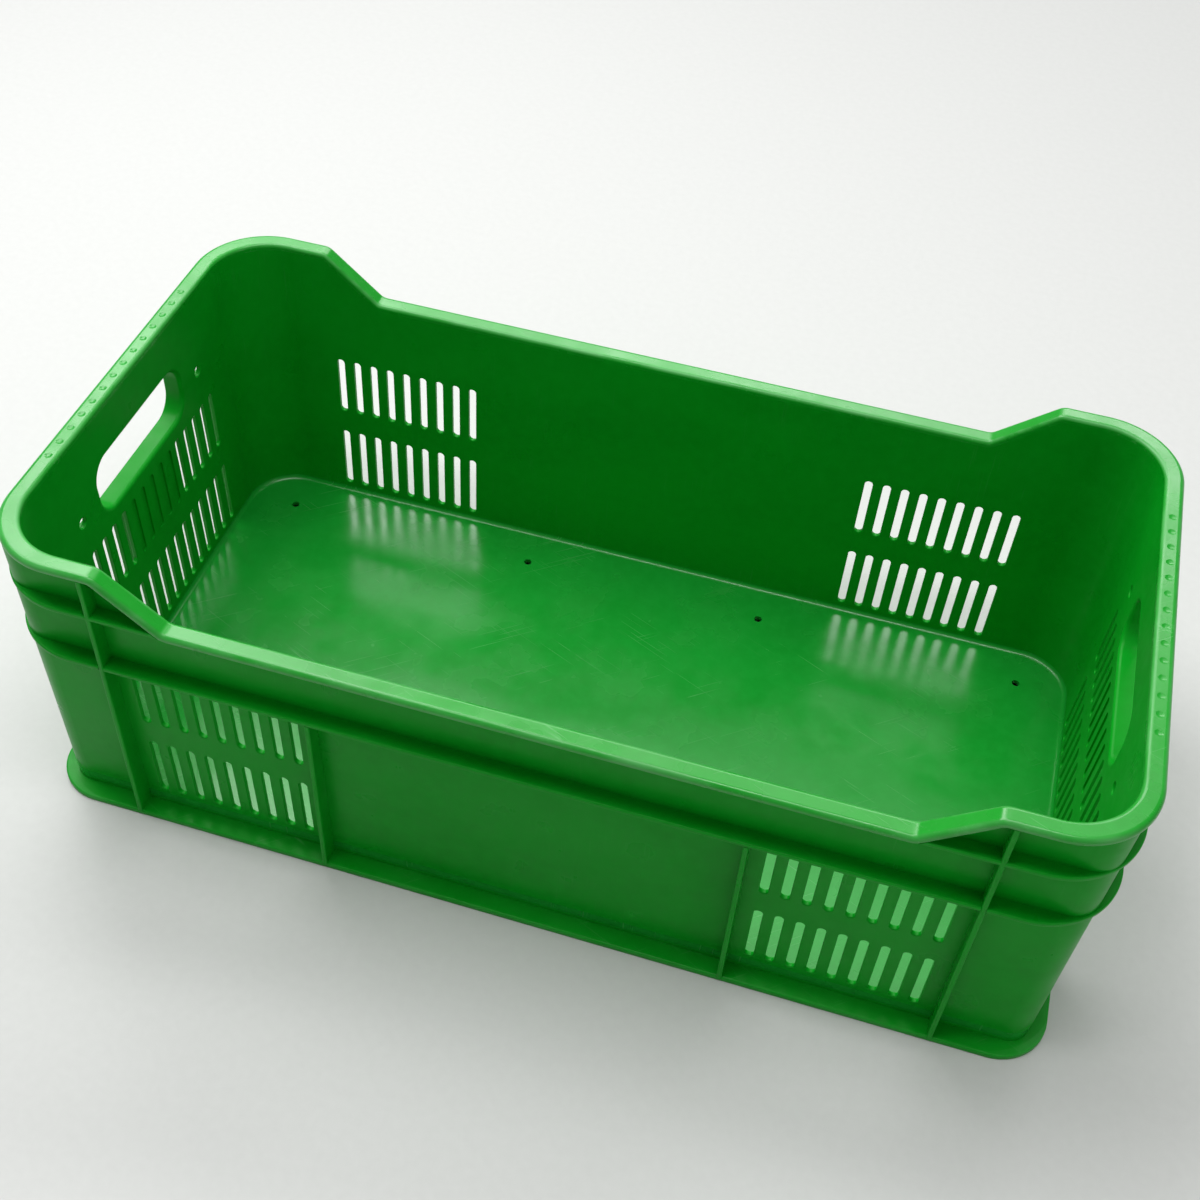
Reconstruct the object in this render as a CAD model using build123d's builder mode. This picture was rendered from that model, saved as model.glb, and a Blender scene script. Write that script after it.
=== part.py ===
from build123d import *
import os
from math import atan2, hypot, radians, tan

# Stacking crate, one injection moulding in polyethylene, divided into its named sections.
# Millimetres, +Z up, +X along the length. The origin is the centre of the footprint on the ground.
# Front is -Y, rear is +Y, left is -X, right is +X.

# Overall size
LENGTH = 600.0
WIDTH = 308.0
HEIGHT = 205.0

# Rim: a flat flange, high at the ends, dipping by two slopes to a low run along each side
LOW_RIM_TOP = 175.0
SLOPE_TOP_X = 229.0
SLOPE_FOOT_X = 194.0
RIM_WIDTH = 11.0
RIM_THICKNESS = 4.0
OUTLINE_RADIUS = 45.0
CREST_RADIUS = 9.0
HOLLOW_RADIUS = 6.0
RIM_INNER_FILLET = 2.4
RIM_OUTER_FILLET = 3.0
RIM_LOWER_FILLET = 0.8

# Row of shallow dimples along the top of each end rim, which keep the crate above from sliding
DIMPLE_PITCH = 12.0
DIMPLE_COUNT = 14
DIMPLE_RADIUS = 5.5
DIMPLE_DEPTH = 0.45
DIMPLE_SETBACK = 5.8

# Walls: drafted inwards towards the floor, set back from the outline that the ribs reach
DRAFT = 1.0
WALL_SETBACK = 8.0
WALL_OUTER_RADIUS = 18.0
WALL_INNER_RADIUS = 36.0

# Floor and base
FLOOR_TOP = 10.0
FLOOR_THICKNESS = 3.0
FLOOR_COVE = 3.0
SKIRT_END_INSET = 2.5
SKIRT_SIDE_INSET = 0.5
SKIRT_RADIUS = 30.0
SKIRT_HEIGHT = 4.0
SKIRT_THICKNESS = 3.0
SKIRT_PLATE = 2.0
SKIRT_TOP_FILLET = 1.2
SKIRT_FOOT_FILLET = 0.8
DRAIN_DIAMETER = 5.0
DRAIN_X_NEAR = 81.0
DRAIN_X_FAR = 253.0
DRAIN_Y = 112.0

# Ribbing under the floor
GRID_RIB_THICKNESS = 2.5
GRID_RIB_FOOT = 1.0
GRID_SPACING_X = 51.0
GRID_COUNT_X = 10
GRID_SPACING_Y = 56.0
GRID_COUNT_Y = 4
GRID_EDGE_THICKNESS = 3.0

# Ribs on the outside of the walls
RIB_THICKNESS = 3.0
RIB_REACH = 13.0
RIB_FILLET = 0.9
UPPER_RIB_TOP = 175.0
LOWER_RIB_TOP = 135.0
POST_RIB_X = 236.0
PANEL_RIB_X = 118.0
END_POST_Y = 93.0

# Ventilation slots, in two rows
SLOT_WIDTH = 5.0
SLOT_PITCH = 11.5
UPPER_SLOT_LOW = 81.5
UPPER_SLOT_HIGH = 124.5
LOWER_SLOT_LOW = 16.5
LOWER_SLOT_HIGH = 63.5
SIDE_SLOTS = 9
END_SLOTS = 15
BLIND_SLOTS = 5
BLIND_SLOT_DEPTH = 1.0
SLOT_FILLET = 0.6

# Hand holes and tag holes in the end walls
GRIP_LENGTH = 101.0
GRIP_RADIUS = 14.0
GRIP_FILLET = 2.4
TAG_HOLE_DIAMETER = 7.0
TAG_HOLE_Y = 72.0
TAG_HOLE_Z = 150.0

# Blank label pad outside each end wall
LABEL_WIDTH = 58.0
LABEL_LOW = 70.0
LABEL_SETBACK = 5.0
LABEL_CORNER_RADIUS = 4.0
LABEL_FILLET = 1.0

# Worked out from the sizes above
HALF_LENGTH = LENGTH / 2
HALF_WIDTH = WIDTH / 2
RIM_UNDERSIDE = HEIGHT - RIM_THICKNESS
WALL_FOOT = FLOOR_TOP + FLOOR_COVE
FLOOR_UNDERSIDE = FLOOR_TOP - FLOOR_THICKNESS
SKIRT_LENGTH = LENGTH - 2 * SKIRT_END_INSET
SKIRT_WIDTH = WIDTH - 2 * SKIRT_SIDE_INSET
SLOPE_ANGLE = atan2(HEIGHT - LOW_RIM_TOP, SLOPE_TOP_X - SLOPE_FOOT_X)
GRIP_LOW = LOWER_RIB_TOP
GRIP_HIGH = UPPER_RIB_TOP - RIB_THICKNESS
GRIP_HEIGHT = GRIP_HIGH - GRIP_LOW
GRIP_CENTRE_Z = (GRIP_LOW + GRIP_HIGH) / 2
GRIP_EDGE_X = HALF_LENGTH - (RIM_WIDTH + WALL_SETBACK) / 2
MARGIN = 20.0

os.makedirs("parts", exist_ok=True)


def save(part, name):
    """Label a finished section and write it as its own STEP file."""
    part.label = name
    export_step(part, f"parts/{name}.step")


def envelope(top_setback, top_radius, low):
    """Drafted solid inside the outline, set back by top_setback at the height of the rim."""
    lean = (HEIGHT - low) * tan(radians(DRAFT))
    setback = top_setback + lean
    with BuildPart() as solid:
        with BuildSketch(Plane.XY.offset(low)):
            RectangleRounded(LENGTH - 2 * setback, WIDTH - 2 * setback, top_radius - lean)
        extrude(amount=HEIGHT + MARGIN - low, taper=-DRAFT)
    return solid.part


def side_profile(depth):
    """Everything lower than the rim's top line less depth, across the whole width."""
    shift = depth * tan(SLOPE_ANGLE / 2)
    with BuildPart() as solid:
        with BuildSketch(Plane.XZ) as profile:
            with BuildLine():
                Polyline(
                    (-LENGTH, -MARGIN),
                    (-LENGTH, HEIGHT - depth),
                    (-SLOPE_TOP_X - shift, HEIGHT - depth),
                    (-SLOPE_FOOT_X - shift, LOW_RIM_TOP - depth),
                    (SLOPE_FOOT_X + shift, LOW_RIM_TOP - depth),
                    (SLOPE_TOP_X + shift, HEIGHT - depth),
                    (LENGTH, HEIGHT - depth),
                    (LENGTH, -MARGIN),
                    close=True,
                )
            make_face()
            crests = profile.vertices().filter_by(lambda corner: abs(corner.X) < HALF_LENGTH)
            fillet(crests.group_by(Axis.Y)[-1], CREST_RADIUS - depth)
            hollows = profile.vertices().filter_by(lambda corner: abs(corner.X) < HALF_LENGTH)
            fillet(hollows.group_by(Axis.Y)[0], HOLLOW_RADIUS + depth)
        extrude(amount=WIDTH, both=True)
    return solid.part


def section(whole, low, high):
    """The piece of a whole loop or shell that lies between two corner points."""
    size = [b - a for a, b in zip(low, high)]
    middle = tuple((a + b) / 2 for a, b in zip(low, high))
    with BuildPart() as piece:
        add(whole)
        with Locations(middle):
            Box(*size, mode=Mode.INTERSECT)
    return piece.part


def quadrant(whole, near_x, near_y, side_x, side_y):
    """The piece of a whole that lies beyond near_x and near_y in one corner of the crate."""
    xs = sorted((side_x * near_x, side_x * LENGTH))
    ys = sorted((side_y * near_y, side_y * WIDTH))
    return section(whole, (xs[0], ys[0], -MARGIN), (xs[1], ys[1], HEIGHT + MARGIN))


def outline_setback(point):
    """How far inside the rounded outline a point lies."""
    beyond_x = abs(point.X) - (HALF_LENGTH - OUTLINE_RADIUS)
    beyond_y = abs(point.Y) - (HALF_WIDTH - OUTLINE_RADIUS)
    if beyond_x > 0 and beyond_y > 0:
        return OUTLINE_RADIUS - hypot(beyond_x, beyond_y)
    return OUTLINE_RADIUS - max(beyond_x, beyond_y)


def depth_in_rim(edge):
    """How far an edge's middle lies below the straight runs and slopes of the rim's top."""
    middle = edge @ 0.5
    along = (abs(middle.X) - SLOPE_FOOT_X) / (SLOPE_TOP_X - SLOPE_FOOT_X)
    top = LOW_RIM_TOP + (HEIGHT - LOW_RIM_TOP) * min(max(along, 0.0), 1.0)
    return top - middle.Z


def runs_along(edge):
    """Whether an edge runs along the outline and not across it."""
    return abs(outline_setback(edge @ 0.1) - outline_setback(edge @ 0.9)) < 0.2


def rib_loop(top):
    """Flat rib right round the crate, standing out from the walls to the outline."""
    with BuildPart() as loop:
        with BuildSketch(Plane.XY.offset(top - RIB_THICKNESS)):
            RectangleRounded(LENGTH, WIDTH, OUTLINE_RADIUS)
        extrude(amount=RIB_THICKNESS)
        fillet(loop.edges(), RIB_FILLET)
        add(wall_outside, mode=Mode.SUBTRACT)
    return loop.part


def side_rib(x, side_y, top):
    """Upright rib on a long wall, from the base skirt to the given height."""
    with BuildPart() as rib:
        with BuildSketch(Plane.XY.offset(SKIRT_HEIGHT)):
            with Locations((x, side_y * (HALF_WIDTH - RIB_REACH / 2))):
                Rectangle(RIB_THICKNESS, RIB_REACH)
        extrude(amount=top - SKIRT_HEIGHT)
        outer = rib.edges().filter_by(Axis.Z).group_by(lambda edge: abs(edge.center().Y))[-1]
        fillet(outer, RIB_FILLET)
        add(wall_outside, mode=Mode.SUBTRACT)
    return rib.part


def end_rib(side_x, y):
    """Upright rib on an end wall, tapering below the lower rib to the narrower base."""
    inner = side_x * (HALF_LENGTH - RIB_REACH)
    with BuildPart() as rib:
        with BuildSketch(Plane.XZ.offset(-y)):
            with BuildLine():
                Polyline(
                    (inner, SKIRT_HEIGHT),
                    (side_x * (HALF_LENGTH - SKIRT_END_INSET), SKIRT_HEIGHT),
                    (side_x * HALF_LENGTH, LOWER_RIB_TOP),
                    (side_x * HALF_LENGTH, RIM_UNDERSIDE),
                    (inner, RIM_UNDERSIDE),
                    close=True,
                )
            make_face()
        extrude(amount=RIB_THICKNESS / 2, both=True)
        upright = rib.edges().filter_by(lambda edge: abs((edge @ 0).Z - (edge @ 1).Z) > RIM_WIDTH)
        outer = upright.filter_by(lambda edge: abs(edge.center().X) > HALF_LENGTH - RIM_WIDTH / 2)
        fillet(outer, RIB_FILLET)
        add(wall_outside, mode=Mode.SUBTRACT)
    return rib.part


def slot_row(count, centre, low, high):
    """Sketch of a row of upright slots between two heights, centred on a place along the wall."""
    with Locations((centre, (low + high) / 2)):
        with GridLocations(SLOT_PITCH, 1, count, 1):
            SlotOverall(high - low, SLOT_WIDTH, rotation=90)


def opening_edges(wall, across, top):
    """Edges round a wall's openings below a height, on its two faces and not through it."""
    short = wall.edges().filter_by(lambda edge: edge.length < GRIP_LENGTH and edge.center().Z < top)
    return short.filter_by(lambda edge: abs(((edge @ 0) - (edge @ 1)).dot(across)) < SLOT_WIDTH / 2)


def plain_panel(low_x, high_x, side_y):
    """Piece of a long wall between two upright ribs."""
    ys = sorted((0, side_y * WIDTH))
    return section(wall_shell, (low_x, ys[0], 0), (high_x, ys[1], HEIGHT))


def slot_panel(low_x, high_x, side_y):
    """Piece of a long wall between two upright ribs, with two rows of slots."""
    blank = plain_panel(low_x, high_x, side_y)
    centre = (low_x + high_x) / 2
    with BuildPart() as panel:
        add(blank)
        with BuildSketch(Plane.XZ):
            slot_row(SIDE_SLOTS, centre, LOWER_SLOT_LOW, LOWER_SLOT_HIGH)
            slot_row(SIDE_SLOTS, centre, UPPER_SLOT_LOW, UPPER_SLOT_HIGH)
        extrude(amount=WIDTH, both=True, mode=Mode.SUBTRACT)
        fillet(opening_edges(panel, Vector(0, 1, 0), LOWER_RIB_TOP), SLOT_FILLET)
    return panel.part


def blind_slots(side_x):
    """Shallow grooves in the inner face, where the label pad closes the middle slots."""
    with BuildPart() as grooves:
        with BuildSketch(Plane.YZ):
            slot_row(BLIND_SLOTS, 0, UPPER_SLOT_LOW, UPPER_SLOT_HIGH)
        extrude(amount=side_x * LENGTH)
        add(groove_reach, mode=Mode.INTERSECT)
    return grooves.part


def end_wall(side_x):
    """End wall between its two upright ribs, with hand hole, tag holes and slots."""
    xs = sorted((0, side_x * LENGTH))
    blank = section(wall_shell, (xs[0], -END_POST_Y, 0), (xs[1], END_POST_Y, HEIGHT))
    grooves = blind_slots(side_x)
    open_slots = (END_SLOTS - BLIND_SLOTS) // 2
    open_centre = (BLIND_SLOTS + open_slots) / 2 * SLOT_PITCH
    with BuildPart() as wall:
        add(blank)
        with BuildSketch(Plane.YZ):
            slot_row(END_SLOTS, 0, LOWER_SLOT_LOW, LOWER_SLOT_HIGH)
            slot_row(open_slots, -open_centre, UPPER_SLOT_LOW, UPPER_SLOT_HIGH)
            slot_row(open_slots, open_centre, UPPER_SLOT_LOW, UPPER_SLOT_HIGH)
            with Locations((-TAG_HOLE_Y, TAG_HOLE_Z), (TAG_HOLE_Y, TAG_HOLE_Z)):
                Circle(TAG_HOLE_DIAMETER / 2)
        extrude(amount=side_x * LENGTH, mode=Mode.SUBTRACT)
        fillet(opening_edges(wall, Vector(1, 0, 0), UPPER_RIB_TOP), SLOT_FILLET)
        with BuildSketch(Plane.YZ):
            with Locations((0, GRIP_CENTRE_Z)):
                RectangleRounded(GRIP_LENGTH, GRIP_HEIGHT, GRIP_RADIUS)
        extrude(amount=side_x * LENGTH, mode=Mode.SUBTRACT)
        grip = opening_edges(wall, Vector(1, 0, 0), UPPER_RIB_TOP)
        grip = grip.filter_by(lambda edge: edge.center().Z > GRIP_LOW - SLOT_FILLET)
        grip = grip.filter_by(lambda edge: abs(edge.center().Y) < GRIP_LENGTH / 2 + SLOT_FILLET)
        fillet(grip.group_by(lambda edge: abs(edge.center().X) > GRIP_EDGE_X)[0], GRIP_FILLET)
        add(grooves, mode=Mode.SUBTRACT)
    return wall.part


def grip_frame(side_x):
    """Collar round the hand hole, with the two flat ribs that tie it to the upright ribs."""
    reach = 2 * END_POST_Y - RIB_THICKNESS
    collar = 2 * RIB_THICKNESS
    with BuildPart() as frame:
        with BuildSketch(Plane.YZ.offset(side_x * HALF_LENGTH)):
            for top in (LOWER_RIB_TOP, UPPER_RIB_TOP):
                with Locations((0, top - RIB_THICKNESS / 2)):
                    Rectangle(reach, RIB_THICKNESS)
            with Locations((0, GRIP_CENTRE_Z)):
                RectangleRounded(GRIP_LENGTH + collar, GRIP_HEIGHT + collar, GRIP_RADIUS + RIB_THICKNESS)
                RectangleRounded(GRIP_LENGTH, GRIP_HEIGHT, GRIP_RADIUS, mode=Mode.SUBTRACT)
        extrude(amount=-side_x * RIM_WIDTH)
        outer = frame.faces().sort_by(lambda face: abs(face.center().X))[-1]
        long_edges = outer.edges().filter_by(lambda edge: edge.length > reach - 1)
        fillet(outer.inner_wires()[0].edges() + long_edges, RIB_FILLET)
        add(wall_outside, mode=Mode.SUBTRACT)
    return frame.part


def label_pad(side_x):
    """Blank raised pad below the hand hole, outside the blind slots."""
    height = LOWER_RIB_TOP - RIB_THICKNESS - LABEL_LOW
    with BuildPart() as pad:
        with BuildSketch(Plane.YZ.offset(side_x * (HALF_LENGTH - LABEL_SETBACK))):
            with Locations((0, LABEL_LOW + height / 2)):
                RectangleRounded(LABEL_WIDTH, height, LABEL_CORNER_RADIUS)
        extrude(amount=-side_x * RIM_WIDTH)
        outer = pad.faces().sort_by(lambda face: abs(face.center().X))[-1]
        fillet(outer.edges(), LABEL_FILLET)
        add(wall_outside, mode=Mode.SUBTRACT)
    return pad.part


# Wholes that the sections are taken from

wall_outside = envelope(WALL_SETBACK, WALL_OUTER_RADIUS, 0)
groove_reach = envelope(RIM_WIDTH - BLIND_SLOT_DEPTH, WALL_INNER_RADIUS, FLOOR_TOP)
below_rim = side_profile(RIM_THICKNESS)
rim_and_below = side_profile(0)

with BuildPart() as cavity:
    add(envelope(RIM_WIDTH, WALL_INNER_RADIUS, FLOOR_TOP))
    fillet(cavity.edges().group_by(Axis.Z)[0], FLOOR_COVE)

with BuildPart() as shell:
    add(envelope(WALL_SETBACK, WALL_OUTER_RADIUS, WALL_FOOT))
    add(cavity.part, mode=Mode.SUBTRACT)
    add(below_rim, mode=Mode.INTERSECT)
wall_shell = shell.part

with BuildPart() as rim:
    add(rim_and_below)
    add(below_rim, mode=Mode.SUBTRACT)
    with BuildSketch():
        RectangleRounded(LENGTH, WIDTH, OUTLINE_RADIUS)
    extrude(amount=HEIGHT, mode=Mode.INTERSECT)
    add(cavity.part, mode=Mode.SUBTRACT)
    for upper, outer, radius in (
        (True, False, RIM_INNER_FILLET),
        (True, True, RIM_OUTER_FILLET),
        (False, True, RIM_LOWER_FILLET),
    ):
        edges = rim.edges().filter_by(runs_along)
        edges = edges.filter_by(lambda edge: (depth_in_rim(edge) < RIM_THICKNESS / 2) == upper)
        edges = edges.filter_by(lambda edge: (outline_setback(edge @ 0.5) < RIM_WIDTH / 2) == outer)
        edges = edges.group_by(lambda edge: round(outline_setback(edge @ 0.5)))[0 if outer else -1]
        fillet(edges, radius)

# Floor and base

with BuildPart() as floor_plate:
    extrude(cavity.faces().sort_by(Axis.Z)[0], amount=FLOOR_THICKNESS)

with BuildPart() as floor_panel:
    add(floor_plate.part)
    with Locations((0, 0, FLOOR_TOP)):
        for drain_x in (DRAIN_X_NEAR, DRAIN_X_FAR):
            with GridLocations(2 * drain_x, 2 * DRAIN_Y, 2, 2):
                Hole(DRAIN_DIAMETER / 2)
save(floor_panel.part, "floor_panel")

with BuildPart() as floor_edge:
    add(section(wall_outside, (-LENGTH, -WIDTH, FLOOR_UNDERSIDE), (LENGTH, WIDTH, WALL_FOOT)))
    add(cavity.part, mode=Mode.SUBTRACT)
    add(floor_plate.part, mode=Mode.SUBTRACT)
save(floor_edge.part, "floor_edge")

with BuildPart() as base_skirt:
    with BuildSketch():
        RectangleRounded(SKIRT_LENGTH, SKIRT_WIDTH, SKIRT_RADIUS)
    extrude(amount=SKIRT_HEIGHT)
    fillet(base_skirt.edges().group_by(Axis.Z)[-1], SKIRT_TOP_FILLET)
    fillet(base_skirt.edges().group_by(Axis.Z)[0], SKIRT_FOOT_FILLET)
    with BuildSketch():
        RectangleRounded(
            SKIRT_LENGTH - 2 * SKIRT_THICKNESS,
            SKIRT_WIDTH - 2 * SKIRT_THICKNESS,
            SKIRT_RADIUS - SKIRT_THICKNESS,
        )
    extrude(amount=SKIRT_HEIGHT - SKIRT_PLATE, mode=Mode.SUBTRACT)
    add(wall_outside, mode=Mode.SUBTRACT)
save(base_skirt.part, "base_skirt")

with BuildPart() as floor_ribs:
    edge = WALL_SETBACK + HEIGHT * tan(radians(DRAFT))
    span_x = LENGTH - 2 * edge
    span_y = WIDTH - 2 * edge
    add(section(wall_outside, (-LENGTH, -WIDTH, 0), (LENGTH, WIDTH, FLOOR_UNDERSIDE)))
    with BuildSketch():
        RectangleRounded(
            span_x - 2 * GRID_EDGE_THICKNESS,
            span_y - 2 * GRID_EDGE_THICKNESS,
            WALL_OUTER_RADIUS - GRID_EDGE_THICKNESS,
        )
    extrude(amount=FLOOR_UNDERSIDE, mode=Mode.SUBTRACT)
    with BuildSketch(Plane.XY.offset(GRID_RIB_FOOT)):
        with GridLocations(GRID_SPACING_X, 1, GRID_COUNT_X, 1):
            Rectangle(GRID_RIB_THICKNESS, span_y - GRID_EDGE_THICKNESS)
        with GridLocations(1, GRID_SPACING_Y, 1, GRID_COUNT_Y):
            Rectangle(span_x - GRID_EDGE_THICKNESS, GRID_RIB_THICKNESS)
    extrude(amount=FLOOR_UNDERSIDE - GRID_RIB_FOOT)
save(floor_ribs.part, "floor_ribs")

# Sections that repeat at the front and the rear, and at the left and the right

half_rib = RIB_THICKNESS / 2
lower_rib = rib_loop(LOWER_RIB_TOP)
with BuildPart() as upper_loop:
    add(rib_loop(UPPER_RIB_TOP))
    add(below_rim, mode=Mode.INTERSECT)

for front_rear, side_y in (("front", -1), ("rear", 1)):
    ys = sorted((0, side_y * WIDTH))
    save(slot_panel(-POST_RIB_X, -PANEL_RIB_X, side_y), f"{front_rear}_left_slot_panel")
    save(plain_panel(-PANEL_RIB_X, PANEL_RIB_X, side_y), f"{front_rear}_centre_panel")
    save(slot_panel(PANEL_RIB_X, POST_RIB_X, side_y), f"{front_rear}_right_slot_panel")
    reach = POST_RIB_X - half_rib
    save(section(lower_rib, (-reach, ys[0], 0), (reach, ys[1], HEIGHT)), f"{front_rear}_lower_rib")
    low_rim = section(rim.part, (-SLOPE_FOOT_X, ys[0], 0), (SLOPE_FOOT_X, ys[1], HEIGHT))
    save(low_rim, f"{front_rear}_low_rim")
    for left_right, side_x in (("left", -1), ("right", 1)):
        corner = f"{front_rear}_{left_right}"
        slope_xs = sorted((side_x * SLOPE_FOOT_X, side_x * SLOPE_TOP_X))
        slope = section(rim.part, (slope_xs[0], ys[0], 0), (slope_xs[1], ys[1], HEIGHT))
        save(slope, f"{corner}_rim_slope")
        save(quadrant(rim.part, SLOPE_TOP_X, END_POST_Y, side_x, side_y), f"{corner}_rim_corner")
        save(quadrant(wall_shell, POST_RIB_X, END_POST_Y, side_x, side_y), f"{corner}_corner_wall")
        near_post = POST_RIB_X + half_rib
        near_end = END_POST_Y + half_rib
        save(quadrant(lower_rib, near_post, near_end, side_x, side_y), f"{corner}_lower_rib")
        post = side_rib(side_x * POST_RIB_X, side_y, RIM_UNDERSIDE)
        save(post, f"{corner}_post_rib")
        with BuildPart() as upper_rib:
            add(quadrant(upper_loop.part, SLOPE_FOOT_X, near_end, side_x, side_y))
            add(post, mode=Mode.SUBTRACT)
        save(upper_rib.part, f"{corner}_upper_rib")
        panel_rib = side_rib(side_x * PANEL_RIB_X, side_y, LOWER_RIB_TOP - RIB_THICKNESS)
        save(panel_rib, f"{corner}_panel_rib")
        save(end_rib(side_x, side_y * END_POST_Y), f"{corner}_end_rib")

for left_right, side_x in (("left", -1), ("right", 1)):
    xs = sorted((0, side_x * LENGTH))
    with BuildPart() as end_rim:
        add(section(rim.part, (xs[0], -END_POST_Y, 0), (xs[1], END_POST_Y, HEIGHT)))
        dimple_x = side_x * (HALF_LENGTH - DIMPLE_SETBACK)
        with Locations((dimple_x, 0, HEIGHT + DIMPLE_RADIUS - DIMPLE_DEPTH)):
            with GridLocations(1, DIMPLE_PITCH, 1, DIMPLE_COUNT):
                Sphere(DIMPLE_RADIUS, mode=Mode.SUBTRACT)
    save(end_rim.part, f"{left_right}_end_rim")
    save(end_wall(side_x), f"{left_right}_end_wall")
    save(grip_frame(side_x), f"{left_right}_grip_frame")
    save(label_pad(side_x), f"{left_right}_label_pad")
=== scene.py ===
"""Stacking crate in green polyethylene, dressed, lit and framed for a studio picture.

The crate's shape comes from its CAD sections. This script gives each section its moulded finish, adds the
small moulding details that the sections leave out, and sets up the floor, the lights and the camera.
Lengths are metres unless a name ends in _mm.
"""

import logging
import math
from dataclasses import dataclass
from enum import Enum

import bpy
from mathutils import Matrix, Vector

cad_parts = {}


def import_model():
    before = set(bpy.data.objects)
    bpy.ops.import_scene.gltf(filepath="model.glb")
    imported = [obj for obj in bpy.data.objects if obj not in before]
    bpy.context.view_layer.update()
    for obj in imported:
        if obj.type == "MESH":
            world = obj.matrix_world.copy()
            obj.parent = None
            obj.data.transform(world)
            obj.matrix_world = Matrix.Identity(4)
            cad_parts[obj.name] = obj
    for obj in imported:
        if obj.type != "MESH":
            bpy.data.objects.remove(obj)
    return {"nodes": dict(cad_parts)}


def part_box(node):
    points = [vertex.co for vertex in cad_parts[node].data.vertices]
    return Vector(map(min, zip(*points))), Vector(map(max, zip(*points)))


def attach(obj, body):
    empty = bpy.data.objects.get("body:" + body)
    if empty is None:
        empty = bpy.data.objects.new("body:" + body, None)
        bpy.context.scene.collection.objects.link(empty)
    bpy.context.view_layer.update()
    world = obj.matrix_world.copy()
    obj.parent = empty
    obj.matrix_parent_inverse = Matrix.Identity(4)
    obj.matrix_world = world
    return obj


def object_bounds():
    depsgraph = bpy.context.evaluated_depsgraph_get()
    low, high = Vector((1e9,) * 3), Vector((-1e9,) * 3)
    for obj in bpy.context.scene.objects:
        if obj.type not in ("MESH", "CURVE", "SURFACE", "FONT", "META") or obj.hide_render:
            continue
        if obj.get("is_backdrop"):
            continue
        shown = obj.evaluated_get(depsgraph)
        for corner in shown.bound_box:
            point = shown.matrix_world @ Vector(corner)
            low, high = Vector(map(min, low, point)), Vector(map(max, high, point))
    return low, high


log = logging.getLogger("stacking_crate")

MM = 0.001
BODY = "root"

Colour = tuple[float, float, float, float]
Triple = tuple[float, float, float]
Socket = bpy.types.NodeSocket
Feed = Socket | float
PaintFeed = Socket | Colour

SHARP_EDGE_ANGLE = math.radians(35)
FACING_LIMIT = 0.9
POLYETHYLENE_IOR = 1.53


def linear(hex_colour: str, alpha: float = 1.0) -> Colour:
    """Turn an sRGB hex colour into linear values.

    Args:
        hex_colour: six hex digits after a hash sign.
        alpha: opacity to append.

    Returns:
        Red, green, blue and alpha, linear, from 0 to 1.
    """
    values = []
    for place in (1, 3, 5):
        level = int(hex_colour[place : place + 2], 16) / 255
        values.append(level / 12.92 if level <= 0.04045 else ((level + 0.055) / 1.055) ** 2.4)
    return values[0], values[1], values[2], alpha


def add_node(
    tree: bpy.types.NodeTree, kind: str, settings: dict | None = None, inputs: dict | None = None
) -> bpy.types.Node:
    """Add one node with its settings and its inputs.

    Args:
        tree: node tree that takes the node.
        kind: Blender's name for the node type.
        settings: properties of the node to set.
        inputs: input name or number to a value, or to the output socket that feeds it.

    Returns:
        The new node.
    """
    node = tree.nodes.new(kind)
    for name, value in (settings or {}).items():
        setattr(node, name, value)
    for name, value in (inputs or {}).items():
        if isinstance(value, bpy.types.NodeSocket):
            tree.links.new(value, node.inputs[name])
        else:
            node.inputs[name].default_value = value
    return node


class Zone(Enum):
    """Parts of the moulding that get worn and look alike."""

    FLOOR = "floor"
    WALL = "wall"
    RIM = "rim"
    RIB = "rib"
    BASE = "base"


@dataclass(frozen=True)
class Outline:
    """The crate's outline and the line of its rim, which the pale edges of wear and painted highlight
    follow.
    """

    half_length: float
    half_width: float
    height: float
    radius: float = 45 * MM
    rim_width: float = 11 * MM
    low_rim_top: float = 175 * MM
    slope_foot: float = 194 * MM
    slope_top: float = 229 * MM


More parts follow.
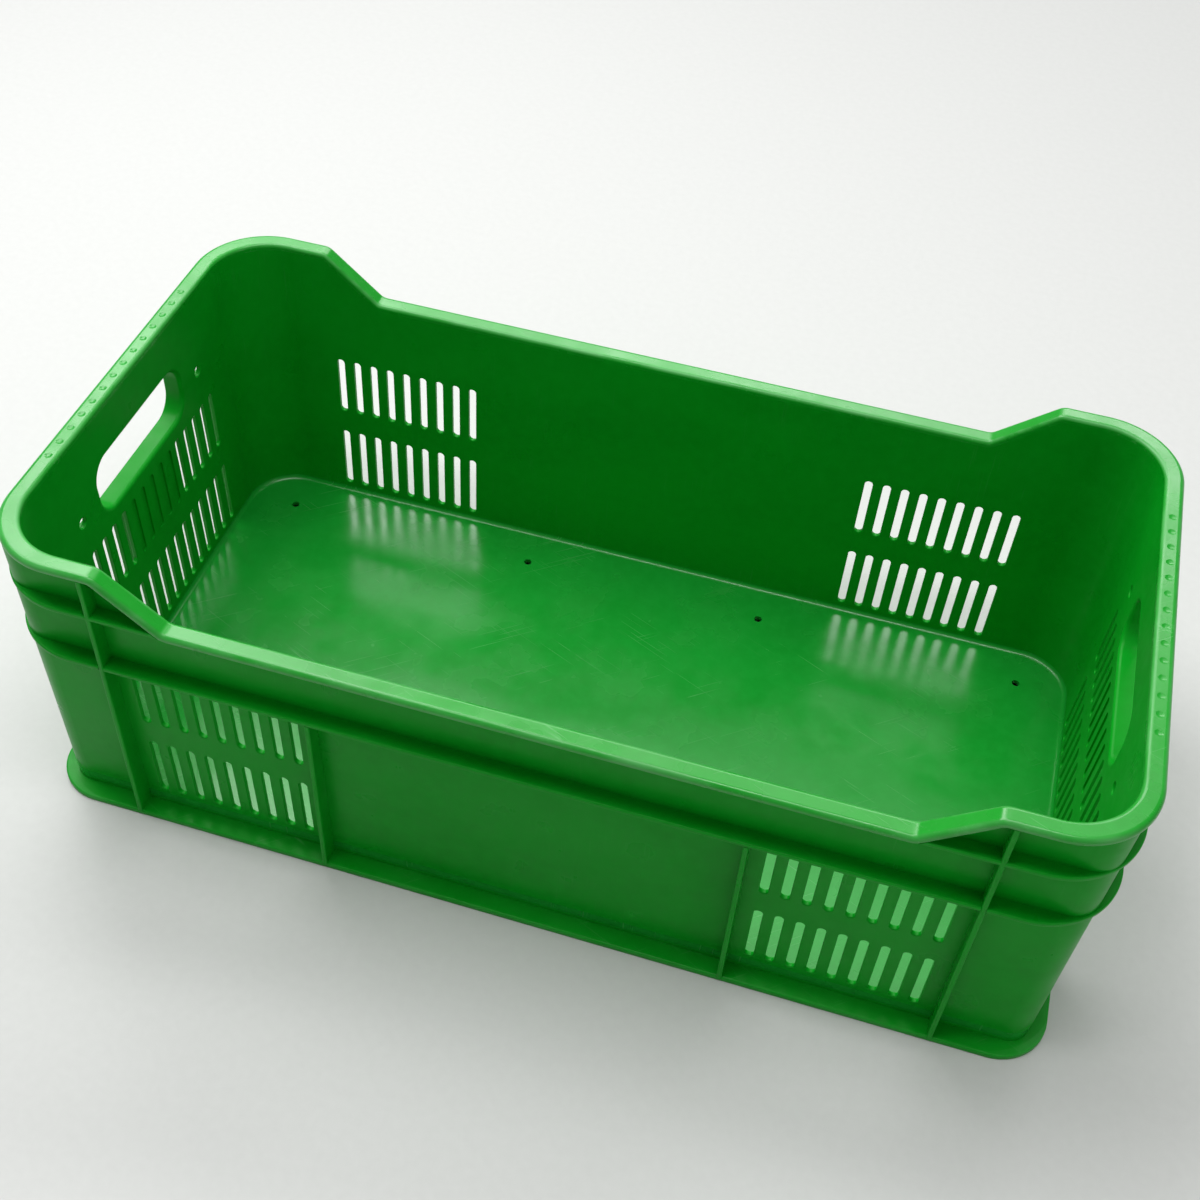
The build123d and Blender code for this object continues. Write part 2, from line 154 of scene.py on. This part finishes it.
class Pattern:
    """Builds the measured masks and noises of one material, on Object coordinates."""

    def __init__(self, tree: bpy.types.NodeTree, outline: Outline) -> None:
        """Start from a material's tree and the outline of the crate.

        Args:
            tree: node tree of the material.
            outline: outline of the crate.
        """
        self.tree = tree
        self.outline = outline
        self.place = add_node(tree, "ShaderNodeTexCoord").outputs["Object"]
        axes = add_node(tree, "ShaderNodeSeparateXYZ", inputs={"Vector": self.place})
        self.x, self.y, self.z = axes.outputs["X"], axes.outputs["Y"], axes.outputs["Z"]

    def maths(self, operation: str, *values: Feed) -> Socket:
        """Combine values by one sum.

        Args:
            operation: Blender's name for the sum.
            values: numbers or sockets, in order.

        Returns:
            The socket with the result.
        """
        inputs = dict(enumerate(values))
        return add_node(self.tree, "ShaderNodeMath", {"operation": operation}, inputs).outputs[0]

    def ramp(self, value: Feed, start: float, end: float, low: float = 0, high: float = 1) -> Socket:
        """Turn a value smoothly from low, at start, to high, at end.

        Args:
            value: socket to read.
            start: value that gives low.
            end: value that gives high.
            low: result at and before start.
            high: result at and beyond end.

        Returns:
            The socket with the result.
        """
        inputs = {"Value": value, "From Min": start, "From Max": end, "To Min": low, "To Max": high}
        settings = {"interpolation_type": "SMOOTHSTEP"}
        return add_node(self.tree, "ShaderNodeMapRange", settings, inputs).outputs["Result"]

    def noise(
        self, size_mm: float, stretch: Triple = (1, 1, 1), turn: float = 0, detail: float = 2
    ) -> Socket:
        """Noise with patches of a real size.

        Args:
            size_mm: width of a patch in millimetres.
            stretch: how much longer a patch is along each axis.
            turn: turn of the pattern about Z in degrees.
            detail: number of finer layers.

        Returns:
            The socket with the noise, from 0 to 1.
        """
        scale = tuple(1 / (size_mm * MM * longer) for longer in stretch)
        inputs = {"Vector": self.place, "Rotation": (0, 0, math.radians(turn))}
        turned = add_node(self.tree, "ShaderNodeMapping", inputs=inputs).outputs[0]
        inputs = {"Vector": turned, "Scale": scale}
        mapped = add_node(self.tree, "ShaderNodeMapping", inputs=inputs).outputs[0]
        inputs = {"Vector": mapped, "Scale": 1.0, "Detail": detail, "Roughness": 0.55}
        return add_node(self.tree, "ShaderNodeTexNoise", inputs=inputs).outputs["Fac"]

    def mixed(self, share: Feed, first: PaintFeed, second: PaintFeed) -> Socket:
        """Mix two colours.

        Args:
            share: share of the second colour, from 0 to 1.
            first: colour or socket at 0.
            second: colour or socket at 1.

        Returns:
            The socket with the mixed colour.
        """
        inputs = {0: share, 6: first, 7: second}
        return add_node(self.tree, "ShaderNodeMix", {"data_type": "RGBA"}, inputs).outputs[2]

    def setback(self) -> Socket:
        """Measure the distance inwards from the rounded outline.

        Returns:
            The socket with the distance in metres.
        """
        beyond = []
        for axis, half in ((self.x, self.outline.half_length), (self.y, self.outline.half_width)):
            size = self.maths("ABSOLUTE", axis)
            beyond.append(self.maths("SUBTRACT", size, half - self.outline.radius))
        corner = [self.maths("POWER", self.maths("MAXIMUM", value, 0.0), 2.0) for value in beyond]
        outside = self.maths("SQRT", self.maths("ADD", *corner))
        inside = self.maths("MINIMUM", self.maths("MAXIMUM", *beyond), 0.0)
        return self.maths("SUBTRACT", self.outline.radius, self.maths("ADD", outside, inside))

    def rim_depth(self) -> Socket:
        """Measure the depth below the top line of the rim.

        Returns:
            The socket with the depth in metres.
        """
        along = self.maths("ABSOLUTE", self.x)
        inputs = {
            "Value": along,
            "From Min": self.outline.slope_foot,
            "From Max": self.outline.slope_top,
            "To Min": self.outline.low_rim_top,
            "To Max": self.outline.height,
        }
        top = add_node(self.tree, "ShaderNodeMapRange", inputs=inputs).outputs["Result"]
        return self.maths("SUBTRACT", top, self.z)

    def near_edge(self, setback: Socket, depth: Socket, reach_mm: float) -> Socket:
        """Mask that is 1 at an edge and fades to 0.

        Args:
            setback: signed distance from the edge across the rim.
            depth: signed distance from the edge downwards.
            reach_mm: distance at which the mask has faded.

        Returns:
            The socket with the mask.
        """
        squares = [self.maths("POWER", value, 2.0) for value in (setback, depth)]
        distance = self.maths("SQRT", self.maths("ADD", *squares))
        return self.ramp(distance, reach_mm * MM, 0.25 * reach_mm * MM)

    def edge_wear_and_highlight(self) -> Socket:
        """Mark where hands, straps and other crates rub, on the rim's two edges, the ribs and the foot, and
        where a painted highlight lies along the rim's edges and the ribs' faces.

        Returns:
            The socket with the mask.
        """
        setback = self.setback()
        depth = self.rim_depth()
        inner = self.maths("SUBTRACT", setback, self.outline.rim_width)
        # The pale marks on the rim's two edges and on the ribs' outer faces are partly wear and partly a
        # painted highlight.
        edges = self.maths("MAXIMUM", self.near_edge(setback, depth, 3.0), self.near_edge(inner, depth, 2.4))
        ribs = self.ramp(setback, 1.2 * MM, 0.2 * MM, 0, 0.7)
        foot = self.ramp(self.z, 2.0 * MM, 0.4 * MM, 0, 0.8)
        return self.maths("MAXIMUM", edges, self.maths("MAXIMUM", ribs, foot))


@dataclass(frozen=True)
class MouldedPolyethylene:
    """High-density polyethylene, injection moulded in a polished steel mould.

    It gives the eye a deep even green with a soft broad gloss, slight clouds where the melt flowed,
    a waxy ripple in its reflections, and pale edges that are partly rubbed wear and partly a painted
    highlight.
    """

    zone: Zone
    pigment: str = "#05951c"
    cloud: str = "#048d19"
    bright: str = "#0b9b23"
    # Pale colour of rubbed wear and scratches; along the rim's edges and the ribs' faces it is also a
    # painted highlight.
    rubbed_and_highlight: str = "#79bf80"
    gloss: float = 0.27
    dull: float = 0.40
    cloud_mm: float = 70.0
    # Scratches are a third of a millimetre wide, and are drawn wider so that they show.
    scratch_mm: float = 0.9
    scratch_length: float = 60.0
    scratches: float = 0.25
    # How much of the pale colour the edges take: partly rubbed wear, partly painted highlight.
    wear_and_highlight: float = 0.35
    specular: float = 0.5
    ripple_mm: float = 24.0
    # The grain of the mould is some 0.1 mm, and is drawn coarser so that it shows.
    grain_mm: float = 1.1
    lines: Triple = (1, 1, 1)

    def material(self, outline: Outline) -> bpy.types.Material:
        """Build the material.

        Args:
            outline: outline of the crate, which the pale edges of wear and painted highlight follow.

        Returns:
            The new material.
        """
        material = bpy.data.materials.new(f"moulded_polyethylene_{self.zone.value}")
        material.use_nodes = True
        tree = material.node_tree
        tree.nodes.clear()
        pattern = Pattern(tree, outline)
        scratched = self.scratch_mask(pattern)
        # Mask of the rubbed edges, which also carries a painted highlight along the rim's edges and the
        # ribs' faces.
        rubbed_and_highlight = self.rubbed_and_highlight_mask(pattern)
        colour = self.colour(pattern, scratched, rubbed_and_highlight)
        roughness = self.roughness(pattern, scratched, rubbed_and_highlight)
        inputs = {
            "Base Color": colour,
            "Roughness": roughness,
            "IOR": POLYETHYLENE_IOR,
            "Specular IOR Level": self.specular,
            "Normal": self.relief(pattern, scratched),
        }
        shader = add_node(tree, "ShaderNodeBsdfPrincipled", inputs=inputs)
        add_node(tree, "ShaderNodeOutputMaterial", inputs={"Surface": shader.outputs["BSDF"]})
        return material

    def scratch_mask(self, pattern: Pattern) -> Socket:
        """Fine crossing scratches where the load slides, in patches.

        Args:
            pattern: masks and noises of the material.

        Returns:
            The socket with the mask.
        """
        first = pattern.noise(self.scratch_mm, self.lines, 24, 1)
        second = pattern.noise(self.scratch_mm * 1.2, self.lines, -38, 1)
        thin = pattern.maths("MAXIMUM", pattern.ramp(first, 0.66, 0.74), pattern.ramp(second, 0.67, 0.75))
        patches = pattern.ramp(pattern.noise(55.0, detail=3), 0.42, 0.68)
        return pattern.maths("MULTIPLY", thin, patches)

    def rubbed_and_highlight_mask(self, pattern: Pattern) -> Socket:
        """Edge wear and the painted edge highlight, broken up so that no edge is pale evenly.

        Args:
            pattern: masks and noises of the material.

        Returns:
            The socket with the mask.
        """
        breaks = pattern.ramp(pattern.noise(9.0, (4, 4, 1), detail=4), 0.30, 0.72)
        return pattern.maths("MULTIPLY", pattern.edge_wear_and_highlight(), breaks)

    def colour(self, pattern: Pattern, scratched: Socket, rubbed_and_highlight: Socket) -> Socket:
        """Pigment with flow clouds, a fine mottle, pale scratches, and pale edges that are partly rubbed
        wear and partly a painted highlight.

        Args:
            pattern: masks and noises of the material.
            scratched: mask of the scratches.
            rubbed_and_highlight: mask of the edge wear and of the painted edge highlight.

        Returns:
            The socket with the colour.
        """
        clouds = pattern.ramp(pattern.noise(self.cloud_mm, (1.8, 1.2, 0.8), detail=3), 0.32, 0.70)
        mottle = pattern.ramp(pattern.noise(7.0, detail=3), 0.30, 0.75, 0, 0.4)
        base = pattern.mixed(clouds, linear(self.cloud), linear(self.pigment))
        base = pattern.mixed(mottle, base, linear(self.bright))
        base = pattern.mixed(pattern.maths("MULTIPLY", scratched, self.scratches), base, linear(self.rubbed_and_highlight))
        # Pale edges: rubbed wear, and a painted highlight along the rim's edges and the ribs' faces.
        return pattern.mixed(pattern.maths("MULTIPLY", rubbed_and_highlight, self.wear_and_highlight), base, linear(self.rubbed_and_highlight))

    def roughness(self, pattern: Pattern, scratched: Socket, rubbed_and_highlight: Socket) -> Socket:
        """Gloss of the polished mould, duller in clouds, in scratches and along the pale edges of wear and
        painted highlight.

        Args:
            pattern: masks and noises of the material.
            scratched: mask of the scratches.
            rubbed_and_highlight: mask of the edge wear and of the painted edge highlight.

        Returns:
            The socket with the roughness.
        """
        smooth = pattern.ramp(pattern.noise(33.0, detail=3), 0.30, 0.72, self.gloss, self.dull)
        used = pattern.maths("MULTIPLY", pattern.maths("MAXIMUM", scratched, rubbed_and_highlight), 0.16)
        return pattern.maths("ADD", smooth, used)

    def relief(self, pattern: Pattern, scratched: Socket) -> Socket:
        """Waxy ripple of the cooled wall, the mould's grain, and the scratches' shallow grooves.

        Args:
            pattern: masks and noises of the material.
            scratched: mask of the scratches.

        Returns:
            The socket with the normal.
        """
        inputs = {"Height": pattern.noise(self.ripple_mm, detail=1), "Distance": 0.35 * MM, "Strength": 0.35}
        ripple = add_node(pattern.tree, "ShaderNodeBump", inputs=inputs).outputs["Normal"]
        grain = pattern.maths("MULTIPLY", pattern.noise(self.grain_mm, detail=2), 0.6)
        height = pattern.maths("SUBTRACT", grain, scratched)
        inputs = {"Height": height, "Distance": 0.03 * MM, "Strength": 0.5, "Normal": ripple}
        return add_node(pattern.tree, "ShaderNodeBump", inputs=inputs).outputs["Normal"]


@dataclass(frozen=True)
class StudioPaper:
    """Seamless matt paper under the crate: pale, even, with a faint fibre mottle."""

    colour: str = "#d0d1cf"
    shade: str = "#cacbc9"
    fibre_mm: float = 6.0

    def material(self, outline: Outline) -> bpy.types.Material:
        """Build the material.

        Args:
            outline: outline of the crate, for the pattern's coordinates.

        Returns:
            The new material.
        """
        material = bpy.data.materials.new("studio_paper")
        material.use_nodes = True
        tree = material.node_tree
        tree.nodes.clear()
        pattern = Pattern(tree, outline)
        fibres = pattern.noise(self.fibre_mm, detail=3)
        colour = pattern.mixed(fibres, linear(self.shade), linear(self.colour))
        inputs = {"Base Color": colour, "Roughness": 0.9, "Specular IOR Level": 0.2}
        shader = add_node(tree, "ShaderNodeBsdfPrincipled", inputs=inputs)
        add_node(tree, "ShaderNodeOutputMaterial", inputs={"Surface": shader.outputs["BSDF"]})
        return material


def deselect_all() -> None:
    """Leave nothing selected and nothing active."""
    bpy.ops.object.select_all(action="DESELECT")
    bpy.context.view_layer.objects.active = None


def select_only(piece: bpy.types.Object) -> None:
    """Select one object and make it active."""
    deselect_all()
    piece.select_set(True)
    bpy.context.view_layer.objects.active = piece


def select_faces(piece: bpy.types.Object, facing: Vector) -> None:
    """Go into edit mode with only the faces selected that face one way.

    Args:
        piece: object to edit.
        facing: unit vector that the faces' normals follow.
    """
    select_only(piece)
    bpy.ops.object.mode_set(mode="EDIT")
    bpy.ops.mesh.select_mode(type="FACE")
    bpy.ops.mesh.select_all(action="DESELECT")
    bpy.ops.object.mode_set(mode="OBJECT")
    for face in piece.data.polygons:
        face.select = face.normal.dot(facing) > FACING_LIMIT
    bpy.ops.object.mode_set(mode="EDIT")


def apply_place(piece: bpy.types.Object) -> None:
    """Move an object's place, turn and scale into its mesh."""
    select_only(piece)
    bpy.ops.object.transform_apply(location=True, rotation=True, scale=True)


def copy_of(piece: bpy.types.Object, shift: Vector) -> bpy.types.Object:
    """Copy a piece with its own mesh.

    Args:
        piece: object to copy.
        shift: distance to move the copy.

    Returns:
        The copy, linked into the scene.
    """
    copy = piece.copy()
    copy.data = piece.data.copy()
    copy.location = piece.location + shift
    bpy.context.scene.collection.objects.link(copy)
    return copy


def joined(pieces: list[bpy.types.Object], name: str) -> bpy.types.Object:
    """Join like pieces into one.

    Args:
        pieces: objects to join.
        name: name of the result.

    Returns:
        The joined object, with its place in its mesh.
    """
    deselect_all()
    for piece in pieces:
        piece.select_set(True)
    bpy.context.view_layer.objects.active = pieces[0]
    bpy.ops.object.join()
    result = bpy.context.view_layer.objects.active
    apply_place(result)
    result.name = name
    result.data.name = name
    return result


def dress(piece: bpy.types.Object, material: bpy.types.Material) -> None:
    """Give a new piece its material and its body.

    Args:
        piece: finished piece.
        material: material to give it.
    """
    piece.data.materials.clear()
    piece.data.materials.append(material)
    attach(piece, BODY)
    log.info("piece %s, %d faces", piece.name, len(piece.data.polygons))


@dataclass
class Moulding:
    """The crate's own sections, sorted by zone and dressed in one continuous finish."""

    nodes: dict[str, bpy.types.Object]
    outline: Outline

    @staticmethod
    def zone_of(name: str) -> Zone:
        """Tell a section's zone from its name.

        Args:
            name: name of the section.

        Returns:
            The zone that it belongs to.
        """
        endings = {
            "floor_panel": Zone.FLOOR,
            "floor_edge": Zone.FLOOR,
            "floor_ribs": Zone.BASE,
            "base_skirt": Zone.BASE,
            "_rim": Zone.RIM,
            "_rim_corner": Zone.RIM,
            "_rim_slope": Zone.RIM,
            "_rib": Zone.RIB,
            "_grip_frame": Zone.RIB,
            "_label_pad": Zone.RIB,
        }
        for ending, zone in endings.items():
            if name.endswith(ending):
                return zone
        return Zone.WALL

    def finishes(self) -> dict[Zone, MouldedPolyethylene]:
        """List the finish of each zone.

        Returns:
            The finish of each zone.
        """
        return {
            # The floor's pigment, cloud and bright tones are paler than the walls': a painted sheen standing
            # in for the floor's reflection of the room.
            Zone.FLOOR: MouldedPolyethylene(
                Zone.FLOOR,
                pigment="#12902a",
                cloud="#0e8a25",
                bright="#1a9a33",
                gloss=0.18,
                dull=0.30,
                lines=(70, 1, 70),
                scratches=0.12,
            ),
            Zone.WALL: MouldedPolyethylene(Zone.WALL, lines=(1, 1, 45), scratches=0.06, specular=0.1),
            # The rim's pale edges are partly wear and partly a painted highlight; the ribs' faint pale faces
            # likewise.
            Zone.RIM: MouldedPolyethylene(Zone.RIM, gloss=0.22, dull=0.34, lines=(40, 1, 1), wear_and_highlight=0.3),
            Zone.RIB: MouldedPolyethylene(
                Zone.RIB, lines=(40, 1, 1), scratches=0.06, wear_and_highlight=0.03, specular=0.1
            ),
            Zone.BASE: MouldedPolyethylene(
                Zone.BASE, dull=0.48, lines=(30, 1, 1), scratches=0.15, wear_and_highlight=0.2, specular=0.15
            ),
        }

    def dress(self) -> dict[Zone, bpy.types.Material]:
        """Assign each section its zone's material.

        Returns:
            The material of each zone.
        """
        materials = {zone: finish.material(self.outline) for zone, finish in self.finishes().items()}
        for name, node in self.nodes.items():
            zone = self.zone_of(name)
            node.data.materials.clear()
            node.data.materials.append(materials[zone])
            log.info("section %s, zone %s", name, zone.value)
        return materials


@dataclass
class GateMarks:
    """Short cones under the floor, where the melt was let into the mould."""

    material: bpy.types.Material
    radius: float = 4.0 * MM
    tip_radius: float = 1.3 * MM
    length: float = 3.2 * MM
    reach_x: float = 153.0 * MM

    def cone(self, floor_underside: float) -> bpy.types.Object:
        """Model one mark, with a stepped foot and a broken-off tip.

        Args:
            floor_underside: height of the floor's lower face.

        Returns:
            The mark, hanging from the floor at the crate's middle.
        """
        deselect_all()
        middle = floor_underside - self.length / 2 + 0.2 * MM
        bpy.ops.mesh.primitive_cylinder_add(
            vertices=32, radius=self.radius, depth=self.length, location=(0, 0, middle)
        )
        cone = bpy.context.active_object
        select_faces(cone, Vector((0, 0, -1)))
        bpy.ops.transform.translate(value=(0, 0, self.length * 0.6))
        bpy.ops.mesh.inset(thickness=self.radius - self.tip_radius * 1.6)
        bpy.ops.mesh.extrude_region_move(TRANSFORM_OT_translate={"value": (0, 0, -self.length * 0.6)})
        bpy.ops.transform.resize(value=(0.7, 0.7, 1))
        bpy.ops.mesh.inset(thickness=self.tip_radius * 0.3)
        bpy.ops.transform.translate(value=(0, 0, self.length * 0.08))
        bpy.ops.object.mode_set(mode="OBJECT")
        select_only(cone)
        bpy.ops.object.shade_smooth_by_angle(angle=SHARP_EDGE_ANGLE)
        apply_place(cone)
        return cone

    def build(self) -> bpy.types.Object:
        """Model the three marks along the middle of the floor and dress them.

        Returns:
            The finished marks.
        """
        low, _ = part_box("floor_panel")
        first = self.cone(low.z)
        marks = [first] + [copy_of(first, Vector((reach, 0, 0))) for reach in (-self.reach_x, self.reach_x)]
        piece = joined(marks, "gate_marks")
        dress(piece, self.material)
        return piece


@dataclass
class EjectorMarks:
    """Low rings under the floor, where the mould's ejector pins pushed the crate out."""

    material: bpy.types.Material
    radius: float = 7.0 * MM
    proud: float = 0.5 * MM
    lip: float = 0.8 * MM
    reach_x: float = 178.5 * MM
    reach_y: float = 56.0 * MM

    def ring(self, floor_underside: float) -> bpy.types.Object:
        """Model one mark: a flat disc with a thin raised lip.

        Args:
            floor_underside: height of the floor's lower face.

        Returns:
            The mark, under the floor at one corner of the pattern.
        """
        deselect_all()
        place = (-self.reach_x, -self.reach_y, floor_underside)
        bpy.ops.mesh.primitive_cylinder_add(
            vertices=32, radius=self.radius, depth=2 * self.proud, location=place
        )
        ring = bpy.context.active_object
        select_faces(ring, Vector((0, 0, -1)))
        bpy.ops.mesh.inset(thickness=self.lip)
        bpy.ops.mesh.extrude_region_move(TRANSFORM_OT_translate={"value": (0, 0, 0.6 * self.proud)})
        bpy.ops.transform.resize(value=(0.97, 0.97, 1))
        bpy.ops.object.mode_set(mode="OBJECT")
        select_only(ring)
        bpy.ops.object.shade_smooth_by_angle(angle=SHARP_EDGE_ANGLE)
        apply_place(ring)
        return ring

    def build(self) -> bpy.types.Object:
        """Model the four marks, one in each quarter of the floor, and dress them.

        Returns:
            The finished marks.
        """
        low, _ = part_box("floor_panel")
        first = self.ring(low.z)
        across, along = Vector((0, 2 * self.reach_y, 0)), Vector((2 * self.reach_x, 0, 0))
        marks = [first] + [copy_of(first, shift) for shift in (across, along, across + along)]
        piece = joined(marks, "ejector_marks")
        dress(piece, self.material)
        return piece


@dataclass(frozen=True)
class SoftLight:
    """One rectangular softbox, aimed at a point."""

    name: str
    place: Triple
    aim: Triple
    width: float
    height: float
    power: float
    colour: str = "#ffffff"

    def build(self) -> bpy.types.Object:
        """Add the light.

        Returns:
            The light's object.
        """
        lamp = bpy.data.lights.new(self.name, "AREA")
        lamp.shape = "RECTANGLE"
        lamp.size = self.width
        lamp.size_y = self.height
        lamp.energy = self.power
        lamp.color = linear(self.colour)[:3]
        light = bpy.data.objects.new(self.name, lamp)
        bpy.context.scene.collection.objects.link(light)
        light.location = self.place
        towards = Vector(self.aim) - Vector(self.place)
        light.rotation_euler = towards.to_track_quat("-Z", "Y").to_euler()
        log.info("light %s, %.1f W", self.name, self.power)
        return light


@dataclass
class Studio:
    """Pale floor, soft lights, even surroundings and the camera."""

    outline: Outline
    floor_size: float = 40.0
    surroundings: str = "#ffffff"
    brightness: float = 0.30
    camera_place: Triple = (0.14117, -0.60984, 0.7872)
    camera_turn: Triple = (42.836, -2.461, 16.825)
    sensor: float = 36.0
    lens: float = 47.33
    shift: tuple[float, float] = (0.01507, -0.0002)

    def lights(self) -> list[SoftLight]:
        """List the softboxes: overhead, behind, a strip, one high and one low at the right.

        Returns:
            The lights, not yet built.
        """
        return [
            SoftLight("overhead_softbox", (-0.85, 0.35, 1.65), (0, 0, 0.1), 1.1, 1.1, 23),
            SoftLight("rear_softbox", (-1.0, 4.0, 3.55), (0, 0, 0.2), 5.4, 1.2, 150),
            SoftLight("strip_softbox", (0.1, -0.25, 1.9), (0.05, -0.1, 0), 1.1, 0.16, 11),
            SoftLight("high_softbox", (0.35, 1.1, 2.3), (0.15, 0, 0), 1.3, 0.9, 6),
            SoftLight("right_softbox", (1.3, -0.7, 0.5), (0.25, 0, 0.1), 0.2, 0.8, 1.2),
        ]

    def build_floor(self) -> bpy.types.Object:
        """Lay the paper: one wide flat plane.

        Returns:
            The floor.
        """
        deselect_all()
        bpy.ops.mesh.primitive_plane_add(size=self.floor_size)
        floor = bpy.context.active_object
        floor.name = "studio_floor"
        bpy.ops.object.mode_set(mode="EDIT")
        bpy.ops.mesh.select_all(action="SELECT")
        bpy.ops.mesh.subdivide(number_cuts=3)
        bpy.ops.object.mode_set(mode="OBJECT")
        floor.data.materials.append(StudioPaper().material(self.outline))
        floor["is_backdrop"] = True
        return floor

    def build_surroundings(self) -> None:
        """Give the room an even pale light."""
        world = bpy.data.worlds.new("even_room")
        world.use_nodes = True
        backdrop = world.node_tree.nodes["Background"]
        backdrop.inputs["Color"].default_value = linear(self.surroundings)
        backdrop.inputs["Strength"].default_value = self.brightness
        bpy.context.scene.world = world
        bpy.context.scene.view_settings.view_transform = "Standard"

    def build_camera(self) -> bpy.types.Object:
        """Place the camera high in front, a little to the right, with everything sharp.

        Returns:
            The camera's object.
        """
        lens = bpy.data.cameras.new("crate_camera")
        lens.sensor_width = self.sensor
        lens.lens = self.lens
        lens.shift_x, lens.shift_y = self.shift
        camera = bpy.data.objects.new("crate_camera", lens)
        camera.location = self.camera_place
        camera.rotation_euler = tuple(math.radians(angle) for angle in self.camera_turn)
        bpy.context.scene.collection.objects.link(camera)
        bpy.context.scene.camera = camera
        return camera

    def build(self) -> None:
        """Set up the whole studio."""
        self.build_floor()
        self.build_surroundings()
        for light in self.lights():
            light.build()
        self.build_camera()


def main() -> None:
    """Load the crate, dress it, add its small details, and set up the studio."""
    logging.basicConfig(level=logging.INFO, format="%(name)s: %(message)s")
    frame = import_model()
    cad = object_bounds()
    outline = Outline(half_length=cad[1].x, half_width=cad[1].y, height=cad[1].z)
    materials = Moulding(frame["nodes"], outline).dress()
    GateMarks(materials[Zone.BASE]).build()
    EjectorMarks(materials[Zone.BASE]).build()
    Studio(outline).build()


if __name__ == "__main__":
    main()
